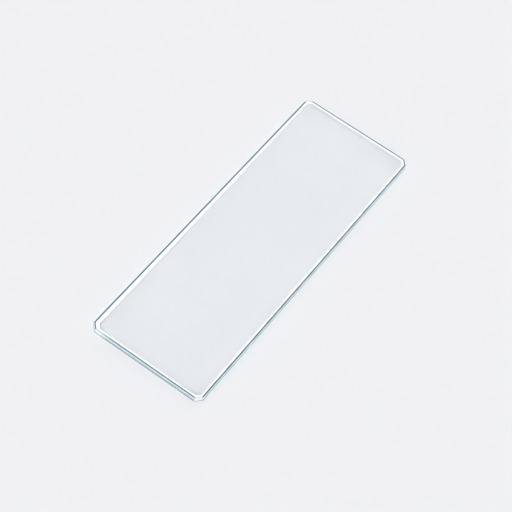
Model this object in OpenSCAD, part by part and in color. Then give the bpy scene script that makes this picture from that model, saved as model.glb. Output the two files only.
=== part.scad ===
// Microscope slide: one clear plate of soda-lime glass, cut to size, with its
// rim ground to a bevel on both faces and its four corners clipped.
//
// Frame: the origin is the centre of the underside. X runs along the slide,
// Y runs across it and Z runs up through the glass.

/* [Plate] */
// Length of the slide
slide_length = 76; // [40:0.5:120]
// Width of the slide
slide_width = 26; // [15:0.5:60]
// Thickness of the glass
glass_thickness = 1.2; // [0.8:0.05:3]

/* [Ground rim] */
// Width and depth of the 45 degree bevel round the upper face
upper_bevel = 0.1; // [0.05:0.05:0.35]
// Width and depth of the 45 degree bevel round the underside
lower_bevel = 0.1; // [0.05:0.05:0.35]

/* [Corners] */
// Leg of the 45 degree cut that clips each corner
corner_cut = 1.2; // [0.6:0.1:5]

/* [Hidden] */

// Angle from the slide's sides to its clipped corners
corner_angle = 45;
// Distance between two clipped corners that lie opposite each other
clipped_diagonal = (slide_length + slide_width - 2 * corner_cut) * cos(corner_angle);
// Longer than any span of the slide, so that a slab's ends never cut the glass
slab_run = 2 * (slide_length + slide_width);

// Section of the glass between two opposite sides, with a bevel at each rim:
// span is across the glass, and the second direction is through it
module section(span) {
    half = span / 2;
    polygon([
        [-half + lower_bevel, 0],
        [half - lower_bevel, 0],
        [half, lower_bevel],
        [half, glass_thickness - upper_bevel],
        [half - upper_bevel, glass_thickness],
        [-half + upper_bevel, glass_thickness],
        [-half, glass_thickness - upper_bevel],
        [-half, lower_bevel],
    ]);
}

// Long slab of that section. At angle 0 its span lies along X
module ground_slab(span, angle) {
    rotate([0, 0, angle])
        translate([0, slab_run / 2, 0])
            rotate([90, 0, 0])
                linear_extrude(height = slab_run)
                    section(span);
}

// The slide is what the slabs of its two ends, its two sides and its two pairs
// of clipped corners have in common, so one bevel runs round all eight edges
module slide() {
    color([0.86, 0.94, 0.95, 0.5])
        intersection() {
            ground_slab(slide_length, 0);
            ground_slab(slide_width, 90);
            ground_slab(clipped_diagonal, corner_angle);
            ground_slab(clipped_diagonal, -corner_angle);
        }
}

slide();
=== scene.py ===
import math

import bpy
from mathutils import Matrix, Vector


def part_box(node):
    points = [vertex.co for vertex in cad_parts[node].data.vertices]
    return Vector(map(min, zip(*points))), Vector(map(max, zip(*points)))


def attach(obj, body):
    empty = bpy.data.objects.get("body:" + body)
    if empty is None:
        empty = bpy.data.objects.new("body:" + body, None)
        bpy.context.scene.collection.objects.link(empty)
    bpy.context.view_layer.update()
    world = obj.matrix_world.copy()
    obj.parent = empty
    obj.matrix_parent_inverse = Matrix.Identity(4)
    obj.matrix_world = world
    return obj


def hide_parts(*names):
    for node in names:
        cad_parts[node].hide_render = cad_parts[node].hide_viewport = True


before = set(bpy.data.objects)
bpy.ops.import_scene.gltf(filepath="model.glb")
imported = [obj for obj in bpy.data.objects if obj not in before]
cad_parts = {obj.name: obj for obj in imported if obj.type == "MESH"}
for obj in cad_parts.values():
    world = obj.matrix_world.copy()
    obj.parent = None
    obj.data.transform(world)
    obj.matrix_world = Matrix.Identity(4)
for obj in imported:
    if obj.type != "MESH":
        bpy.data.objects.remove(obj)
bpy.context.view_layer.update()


# ---- Glass plate -------------------------------------------------------------
# The slide is one plate of clear soda-lime glass, cut from drawn sheet. Its rim
# is ground on a wheel to a bevel on both faces and its four corners are clipped.
# Just inside the upper bevel runs a white band of painted light.

plate_low, plate_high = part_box("slide")
plate_size = plate_high - plate_low
upper_bevel = 0.00010  # width and depth of the bevel round the upper face
lower_bevel = 0.00010  # width and depth of the bevel round the underside
corner_cut = 0.00120  # leg of the 45 degree cut at each corner
seam = 0.00001  # how sharply one finish ends and the next begins
foot = 0.00020  # grey strip of painted contact shadow at the foot of each side
line = 0.00021  # dark line of painted shade on the face, along the upper bevel
painted_band = 0.00047  # white band of painted light inside the line
back_band_extra = 0.00025  # extra width of the painted band along the back edge
end_band_extra = 0.00012  # extra width of the painted band along the right end
taper = 0.45  # share of that extra lost towards the corner where the two meet
rim_corners = 8  # two for each clipped corner
dim_corner_share = 0.15  # share of the corners' painted highlight on the diagonal painted dimmer


def add(tree, kind, **settings):
    """A new node of that kind, with its settings."""
    made = tree.nodes.new(kind)
    for setting, value in settings.items():
        setattr(made, setting, value)
    return made


def feed(tree, socket, value):
    """Links a socket to the input, or sets the input to a plain value."""
    if isinstance(value, bpy.types.NodeSocket):
        tree.links.new(value, socket)
    else:
        socket.default_value = value


def maths(tree, operation, first, second=0.0):
    """One step of arithmetic, on sockets or plain values."""
    made = add(tree, "ShaderNodeMath", operation=operation)
    feed(tree, made.inputs[0], first)
    feed(tree, made.inputs[1], second)
    return made.outputs[0]


def split(tree, vector):
    """The X, Y and Z of a vector."""
    made = add(tree, "ShaderNodeSeparateXYZ")
    feed(tree, made.inputs[0], vector)
    return made.outputs


plate_tree = bpy.data.node_groups.new("ground glass plate", "GeometryNodeTree")
plate_tree.is_modifier = True
for name in ("Length", "Width", "Thickness", "Upper Bevel", "Lower Bevel", "Corner Cut",
             "Seam", "Foot", "Line", "Painted Band", "Back Land", "End Land", "Taper"):
    plate_tree.interface.new_socket(name, in_out="INPUT", socket_type="NodeSocketFloat")
plate_tree.interface.new_socket("Glass", in_out="INPUT", socket_type="NodeSocketMaterial")
plate_tree.interface.new_socket("Plate", in_out="OUTPUT", socket_type="NodeSocketGeometry")
given = add(plate_tree, "NodeGroupInput").outputs


def measure(operation, first, second=0.0):
    """One step of arithmetic on the plate's sizes."""
    return maths(plate_tree, operation, first, second)


def total(*names):
    """Sum of named inputs, each taken away instead where its name has a minus."""
    answer = 0.0
    for name in names:
        way = "SUBTRACT" if name.startswith("-") else "ADD"
        answer = measure(way, answer, given[name.lstrip("-")])
    return answer


# Loops of the rim, in order from the underside, round the outside and over the
# top: how far in from the outline each lies, how high, and whether the extra
# width of the white band of painted light along the back edge and the right end
# is added there. The band's inner border is the softest, three seams wide.
on_top = total("Thickness")
rim_loops = [
    (total("Lower Bevel"), 0.0, 0),
    (total("Lower Bevel", "-Seam"), total("Seam"), 0),
    (total("Seam"), total("Lower Bevel", "-Seam"), 0),
    (0.0, total("Lower Bevel"), 0),
    (0.0, total("Lower Bevel", "Foot"), 0),
    (0.0, total("Lower Bevel", "Foot", "Seam"), 0),
    (0.0, total("Thickness", "-Upper Bevel"), 0),
    (total("Upper Bevel", "-Seam"), total("Thickness", "-Seam"), 0),
    (total("Upper Bevel"), on_top, 0),
    (total("Upper Bevel", "Line"), on_top, 0),
    (total("Upper Bevel", "Line", "Seam"), on_top, 0),
    (total("Upper Bevel", "Line", "Painted Band"), on_top, 1),
    (total("Upper Bevel", "Line", "Painted Band", "Seam", "Seam", "Seam"), on_top, 1),
]
last_loop = len(rim_loops) - 1

# The blank: a prism with eight upright edges and one unit from loop to loop.
blank = add(plate_tree, "GeometryNodeMeshCylinder", fill_type="NGON")
blank.inputs["Vertices"].default_value = rim_corners
blank.inputs["Side Segments"].default_value = last_loop
blank.inputs["Radius"].default_value = 1.0
blank.inputs["Depth"].default_value = last_loop

on_blank = add(plate_tree, "GeometryNodeInputPosition").outputs[0]
from_foot = measure("ADD", split(plate_tree, on_blank)["Z"], last_loop / 2)
loop_number = measure("ROUND", from_foot)


def by_loop(values):
    """One value for each loop, chosen by the loop's number."""
    chooser = add(plate_tree, "GeometryNodeIndexSwitch", data_type="FLOAT")
    while len(chooser.index_switch_items) < len(values):
        chooser.index_switch_items.new()
    feed(plate_tree, chooser.inputs[0], loop_number)
    for spot, value in enumerate(values):
        feed(plate_tree, chooser.inputs[spot + 1], value)
    return chooser.outputs[0]


inset = by_loop([loop[0] for loop in rim_loops])
height = by_loop([loop[1] for loop in rim_loops])
widened = by_loop([loop[2] for loop in rim_loops])

# The blank's eight upright edges, turned half a step, become the two ends of
# each clipped corner.
turned = add(plate_tree, "ShaderNodeVectorRotate", rotation_type="Z_AXIS")
feed(plate_tree, turned.inputs["Vector"], on_blank)
turned.inputs["Angle"].default_value = math.pi / rim_corners
side = split(plate_tree, turned.outputs[0])

# Set in on every side alike, a 45 degree cut loses this share of the inset.
cut_loss = 2 - math.sqrt(2)
leg = measure("SUBTRACT", given["Corner Cut"], measure("MULTIPLY", inset, cut_loss))


def reach(span, extra, here, there):
    """How far a corner point lies from the middle along one axis, with its sign."""
    half = measure("SUBTRACT", measure("MULTIPLY", given[span], 0.5), inset)

    # The painted band's extra width lies on the plus side only, and tapers along the other axis.
    plus_side = measure("MULTIPLY", measure("GREATER_THAN", here, 0.0), widened)
    lost = measure("MULTIPLY", given["Taper"], measure("SIGN", there))
    kept = measure("MULTIPLY", given[extra], measure("SUBTRACT", 1.0, lost))
    half = measure("SUBTRACT", half, measure("MULTIPLY", kept, plus_side))

    # The end of a cut that lies further along the other axis is a leg short here.
    short = measure("GREATER_THAN", measure("ABSOLUTE", there), measure("ABSOLUTE", here))
    half = measure("SUBTRACT", half, measure("MULTIPLY", leg, short))
    return measure("MULTIPLY", half, measure("SIGN", here))


corner = add(plate_tree, "ShaderNodeCombineXYZ")
feed(plate_tree, corner.inputs["X"], reach("Length", "End Land", side["X"], side["Y"]))
feed(plate_tree, corner.inputs["Y"], reach("Width", "Back Land", side["Y"], side["X"]))
feed(plate_tree, corner.inputs["Z"], height)

numbered = add(plate_tree, "GeometryNodeStoreNamedAttribute", data_type="FLOAT", domain="POINT")
feed(plate_tree, numbered.inputs["Geometry"], blank.outputs["Mesh"])
feed(plate_tree, numbered.inputs["Name"], "rim")
feed(plate_tree, numbered.inputs["Value"], measure("DIVIDE", loop_number, last_loop))

shaped = add(plate_tree, "GeometryNodeSetPosition")
feed(plate_tree, shaped.inputs["Geometry"], numbered.outputs[0])
feed(plate_tree, shaped.inputs["Position"], corner.outputs[0])

# A facet belongs to a clipped corner when its middle is off both centre lines,
# and to an end of the slide when it is off only the one across the slide. On one
# diagonal the corners get only a little of the corner finish's painted highlight,
# so the painted dark line runs on past them.
middle = split(plate_tree, add(plate_tree, "GeometryNodeInputPosition").outputs[0])
near_centre = 0.00100  # the painted band's extra width shifts the middle of a long facet by less


def off_centre(axis):
    """1 where a facet's middle is off the centre line of that axis, or else 0."""
    return measure("GREATER_THAN", measure("ABSOLUTE", middle[axis]), near_centre)


bright_corners = measure("GREATER_THAN", measure("MULTIPLY", middle["X"], middle["Y"]), 0.0)
corner_share = measure("ADD", dim_corner_share, measure("MULTIPLY", bright_corners, 1 - dim_corner_share))
off_both = measure("MULTIPLY", off_centre("X"), off_centre("Y"))
facet_kinds = {
    "end": measure("SUBTRACT", off_centre("X"), off_both),
    "corner": measure("MULTIPLY", off_both, corner_share),
}
marked = shaped.outputs[0]
for name, share in facet_kinds.items():
    mark = add(plate_tree, "GeometryNodeStoreNamedAttribute", data_type="FLOAT", domain="FACE")
    feed(plate_tree, mark.inputs["Geometry"], marked)
    feed(plate_tree, mark.inputs["Name"], name)
    feed(plate_tree, mark.inputs["Value"], share)
    marked = mark.outputs[0]

realized = add(plate_tree, "GeometryNodeRealizeInstances")
feed(plate_tree, realized.inputs[0], marked)
glazed = add(plate_tree, "GeometryNodeSetMaterial")
feed(plate_tree, glazed.inputs["Geometry"], realized.outputs[0])
feed(plate_tree, glazed.inputs["Material"], given["Glass"])
feed(plate_tree, add(plate_tree, "NodeGroupOutput").inputs["Plate"], glazed.outputs[0])

# The glass. Clear faces; round them the ground rim, where light and shade are
# painted into the colour: a grey foot of painted contact shadow, a pale side of
# the glass's cyan brightened with painted glow, a dark line of painted shade on
# the face and a white band of painted light.
glass = bpy.data.materials.new("soda-lime glass")
glass.use_nodes = True
finish = glass.node_tree
finish.nodes.clear()
surface = add(finish, "ShaderNodeBsdfPrincipled")
surface.inputs["IOR"].default_value = 1.52
output = add(finish, "ShaderNodeOutputMaterial")
feed(finish, output.inputs["Surface"], surface.outputs[0])


def stored(name):
    """A number that the plate's mesh carries: rim, end or corner."""
    return add(finish, "ShaderNodeAttribute", attribute_name=name).outputs["Fac"]


def along_rim(stops):
    """A colour that changes from loop to loop of the rim. A new ramp has two stops."""
    ramp = add(finish, "ShaderNodeValToRGB")
    feed(finish, ramp.inputs[0], stored("rim"))
    elements = ramp.color_ramp.elements
    for spot, colour in enumerate(stops):
        stop = elements[spot] if spot < 2 else elements.new(spot / last_loop)
        stop.position = spot / last_loop
        stop.color = (*colour, 1) if isinstance(colour, tuple) else (colour, colour, colour, 1)
    return ramp.outputs[0]


# Each finish: its colour, how clear it is and how rough.
colour_part, clear_part, rough_part = range(3)
face = ((0.978, 0.989, 0.994), 1.0, 0.0)
under_bevel = ((1.0, 1.0, 1.0), 0.3, 0.4)
# Painted contact shadow: the dark feet, and the grey at the bottom of the long sides and the ends.
shadow_foot_dark = ((0.03, 0.05, 0.07), 0.0, 0.4)
shadow_foot_grey = ((0.12, 0.17, 0.20), 0.0, 0.4)
shadow_foot_pale = ((0.32, 0.35, 0.37), 0.2, 0.4)
shade_side_grey = ((0.50, 0.68, 0.74), 0.2, 0.5)
# The glass's own cyan, brightened with a painted glow, on the sides, the ends and the upper bevel.
glow_side_cyan = ((0.80, 0.99, 1.0), 0.1, 0.5)
shade_end_grey = ((0.46, 0.54, 0.58), 0.3, 0.35)
glow_end_cyan = ((0.82, 0.98, 1.0), 0.6, 0.35)
glow_bevel_pale = ((0.70, 0.88, 0.94), 0.1, 0.35)
# Painted shade: the dark line along the upper bevel.
shade_line_dark = ((0.0, 0.09, 0.175), 0.0, 0.3)
shade_line_blue = ((0.0, 0.16, 0.26), 0.0, 0.3)
# Painted light: the white band inside the line.
painted_light_white = ((1.0, 1.0, 1.0), 0.0, 0.4)
# Painted highlight on the corner facets, with a paler line of painted shade over them.
highlight_corner_side = ((0.97, 1.0, 1.0), 0.2, 0.3)
shade_corner_line = ((0.70, 0.83, 0.89), 0.0, 0.4)

# Finishes of the rim's loops, in their order, on each kind of side.
long_sides = [face, under_bevel, under_bevel, shadow_foot_dark, shadow_foot_dark, shade_side_grey, glow_side_cyan,
              glow_bevel_pale, shade_line_dark, shade_line_dark, painted_light_white, painted_light_white, face]
ends = [face, under_bevel, under_bevel, shadow_foot_pale, shadow_foot_pale, shade_end_grey, glow_end_cyan,
        glow_bevel_pale, shade_line_blue, shade_line_blue, painted_light_white, painted_light_white, face]
corners = [face, under_bevel, under_bevel, shadow_foot_grey, shadow_foot_grey, highlight_corner_side, highlight_corner_side,
           shade_corner_line, shade_corner_line, shade_corner_line, painted_light_white, painted_light_white, face]

on_glass = add(finish, "ShaderNodeTexCoord").outputs["Object"]
over_glass = split(finish, on_glass)


def eased(tree, value, low, high, start, end):
    """Goes from start to end as the value goes from low to high, with soft ends."""
    step = add(tree, "ShaderNodeMapRange", interpolation_type="SMOOTHSTEP")
    for name, number in (("Value", value),
                         ("From Min", low),
                         ("From Max", high),
                         ("To Min", start),
                         ("To Max", end)):
        feed(tree, step.inputs[name], number)
    return step.outputs[0]


# On the left end the painted dark line fades out over its last few millimetres,
# towards the back corner, where the end takes the painted highlight of the
# clipped corners.
fade_start = plate_high.y - 0.00600
fade_end = plate_high.y - 0.00100
fade_share = 0.9
at_left = maths(finish, "LESS_THAN", over_glass["X"], 0.0)
at_back = eased(finish, over_glass["Y"], fade_start, fade_end, 0.0, fade_share)
faded = maths(finish, "MULTIPLY", stored("end"), maths(finish, "MULTIPLY", at_left, at_back))
shares = {"end": stored("end"), "corner": maths(finish, "ADD", stored("corner"), faded)}


def finish_part(part):
    """One part of the finish, over the long sides, then the ends, then the corners.

    A mix of colours has its own sockets: 6 and 7 going in, and 2 coming out.
    """
    answer = along_rim([made[part] for made in long_sides])
    for kind, finishes in (("end", ends), ("corner", corners)):
        blend = add(finish, "ShaderNodeMix", data_type="RGBA")
        feed(finish, blend.inputs[0], shares[kind])
        feed(finish, blend.inputs[6], answer)
        feed(finish, blend.inputs[7], along_rim([made[part] for made in finishes]))
        answer = blend.outputs[2]
    return answer


# The wheel's grain breaks up the ground rim; the drawn faces have only a long,
# faint waviness.
ground = along_rim([0.0] + [1.0] * (last_loop - 1) + [0.0])


def noise(scale, detail):
    """Cloudy noise that lies still on the glass."""
    made = add(finish, "ShaderNodeTexNoise")
    feed(finish, made.inputs["Vector"], on_glass)
    feed(finish, made.inputs["Scale"], scale)
    feed(finish, made.inputs["Detail"], detail)
    return made.outputs["Fac"]


grain = noise(scale=7000, detail=4)
waviness = noise(scale=90, detail=1)
grain_mean = 0.5
grain_tint = 0.06  # how much the grain changes the colour
grain_rough = 0.3  # and the roughness
wave_height = 0.5  # of the waviness, as a share of the grain's
speckle = maths(finish, "MULTIPLY", ground, maths(finish, "SUBTRACT", grain, grain_mean))
tinted = add(finish, "ShaderNodeVectorMath", operation="SCALE")
feed(finish, tinted.inputs[0], finish_part(colour_part))
feed(finish, tinted.inputs["Scale"],
     maths(finish, "ADD", 1.0, maths(finish, "MULTIPLY", speckle, grain_tint)))
feed(finish, surface.inputs["Base Color"], tinted.outputs[0])
feed(finish, surface.inputs["Transmission Weight"], finish_part(clear_part))
feed(finish, surface.inputs["Roughness"],
     maths(finish, "ADD", finish_part(rough_part), maths(finish, "MULTIPLY", speckle, grain_rough)))
relief = add(finish, "ShaderNodeBump")
relief.inputs["Strength"].default_value = 0.5
relief.inputs["Distance"].default_value = 0.00001
feed(finish, relief.inputs["Height"],
     maths(finish, "ADD", speckle, maths(finish, "MULTIPLY", waviness, wave_height)))
feed(finish, surface.inputs["Normal"], relief.outputs[0])

# The glass itself takes out a little red, which shows only along a long path.
# Colour and density together say how much of each light a metre takes out.
depth = add(finish, "ShaderNodeVolumeAbsorption")
depth.inputs["Color"].default_value = (0.0, 0.67, 0.83, 1)
depth.inputs["Density"].default_value = 3
feed(finish, output.inputs["Volume"], depth.outputs[0])

blank_holder = bpy.data.objects.new("blank", bpy.data.meshes.new("blank"))
bpy.context.scene.collection.objects.link(blank_holder)
grinding = blank_holder.modifiers.new("plate", "NODES")
grinding.node_group = plate_tree
settings = {
    "Length": plate_size.x, "Width": plate_size.y, "Thickness": plate_size.z,
    "Upper Bevel": upper_bevel, "Lower Bevel": lower_bevel, "Corner Cut": corner_cut,
    "Seam": seam, "Foot": foot, "Line": line, "Painted Band": painted_band, "Back Land": back_band_extra,
    "End Land": end_band_extra, "Taper": taper, "Glass": glass,
}
for item in plate_tree.interface.items_tree:
    if item.in_out == "INPUT":
        grinding[item.identifier] = settings[item.name]
blank_holder.update_tag()
scene_now = bpy.context.evaluated_depsgraph_get()
scene_now.update()
plate_mesh = bpy.data.meshes.new_from_object(blank_holder.evaluated_get(scene_now))
plate_mesh.name = "glass_plate"
bpy.data.objects.remove(blank_holder)
plate = bpy.data.objects.new("glass_plate", plate_mesh)
bpy.context.scene.collection.objects.link(plate)
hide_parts("slide")
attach(plate, "root")


# ---- Table top ---------------------------------------------------------------
# A plain pale matt sheet for the slide to lie on. It lies a hair below the
# underside, so that the clear glass keeps a face of its own there.

table_gap = 0.00002
table_reach = 5.0  # from the middle to each side
table_mesh = bpy.data.meshes.new("table")
table_corners = [(table_reach * x, table_reach * y, -table_gap)
                 for x, y in ((-1, -1), (1, -1), (1, 1), (-1, 1))]
table_mesh.from_pydata(table_corners, [], [(0, 1, 2, 3)])
table = bpy.data.objects.new("table", table_mesh)
bpy.context.scene.collection.objects.link(table)
table_paint = bpy.data.materials.new("matt table")
table_paint.use_nodes = True
matt = table_paint.node_tree.nodes["Principled BSDF"]
matt.inputs["Base Color"].default_value = (0.85, 0.8515, 0.871, 1)
matt.inputs["Roughness"].default_value = 1.0
matt.inputs["Specular IOR Level"].default_value = 0.0
table_mesh.materials.append(table_paint)


# ---- Light -------------------------------------------------------------------
# A dim white tent, lighter round its foot. One strong soft lamp hangs on the
# viewer's side. Two weaker ones hang behind the slide and to its right, for the
# shadows off its left end and front edge, and a faint panel for the glass to mirror.

sky = bpy.data.worlds.new("light tent")
sky.use_nodes = True
bpy.context.scene.world = sky
tent = sky.node_tree
tent.nodes.clear()
background = add(tent, "ShaderNodeBackground")
background.inputs["Color"].default_value = (1, 1, 1, 1)
feed(tent, add(tent, "ShaderNodeOutputWorld").inputs["Surface"], background.outputs[0])
way = add(tent, "ShaderNodeVectorMath", operation="NORMALIZE")
feed(tent, way.inputs[0], add(tent, "ShaderNodeTexCoord").outputs["Generated"])
up = split(tent, way.outputs[0])["Z"]


def heading(azimuth, elevation):
    """Unit vector towards a place on the tent; azimuth 0 is over the front edge."""
    a, e = math.radians(azimuth), math.radians(elevation)
    return Vector((math.sin(a) * math.cos(e), -math.cos(a) * math.cos(e), math.sin(e)))


def towards(azimuth, elevation):
    """Cosine of the angle between the way looked and that place."""
    toward = add(tent, "ShaderNodeVectorMath", operation="DOT_PRODUCT")
    feed(tent, toward.inputs[0], way.outputs[0])
    feed(tent, toward.inputs[1], heading(azimuth, elevation))
    return toward.outputs["Value"]


def lamp(azimuth, elevation, inner, outer, power):
    """A round lamp, full within the inner angle and out at the outer one."""
    return eased(tent, towards(azimuth, elevation),
                 math.cos(math.radians(outer)), math.cos(math.radians(inner)), 0.0, power)


# Heights on the tent run from 0 at its foot to 1 overhead.
foot_top, foot_light = 0.3, 0.35
roof_start, roof_light = 0.5, 0.1
lit = eased(tent, up, foot_top, roof_start, foot_light, roof_light)
viewer_lamp = lamp(azimuth=-67, elevation=51, inner=4, outer=11, power=32)
back_lamp = lamp(azimuth=150, elevation=45, inner=4, outer=12, power=4)
right_lamp = lamp(azimuth=100, elevation=31, inner=4, outer=13, power=3.6)
mirrored_panel = lamp(azimuth=112, elevation=54, inner=10, outer=17, power=0.25)
for hung in (viewer_lamp, back_lamp, right_lamp, mirrored_panel):
    lit = maths(tent, "ADD", lit, hung)
brightness = 1.31
feed(tent, background.inputs["Strength"], maths(tent, "MULTIPLY", lit, brightness))

# Light is followed through all its turns inside the plate.
bpy.context.scene.view_settings.view_transform = "Standard"
cycles = bpy.context.scene.cycles
cycles.max_bounces = cycles.transmission_bounces = cycles.glossy_bounces = 64
cycles.diffuse_bounces = 6
cycles.blur_glossy = 0.0
cycles.filter_width = 1.0
cycles.sample_clamp_indirect = 0.0


# ---- Camera ------------------------------------------------------------------
# A long lens that looks down on the slide across its left end, from 54 degrees
# up. It is rolled a little, and aims a few millimetres below the slide's middle.

camera_data = bpy.data.cameras.new("camera")
camera_data.sensor_width = 36
camera_data.lens = 124.023
camera_data.clip_start = 0.01
camera_data.clip_end = 100
camera = bpy.data.objects.new("camera", camera_data)
bpy.context.scene.collection.objects.link(camera)
bpy.context.scene.camera = camera
turn, tilt, roll = -67.878, 53.824, 15.487  # in degrees
distance = 0.353749
aim_left, aim_low = 0.0003042, 0.0032373
back = heading(turn, tilt)
level = Vector((math.cos(math.radians(turn)), math.sin(math.radians(turn)), 0))
upright = back.cross(level)
lean = math.radians(roll)
right = level * math.cos(lean) + upright * math.sin(lean)
top = -level * math.sin(lean) + upright * math.cos(lean)
aim = Vector((0, 0, plate_high.z)) - right * aim_left - top * aim_low
facing = Matrix((right, top, back)).transposed().to_4x4()
camera.matrix_world = Matrix.Translation(aim + back * distance) @ facing
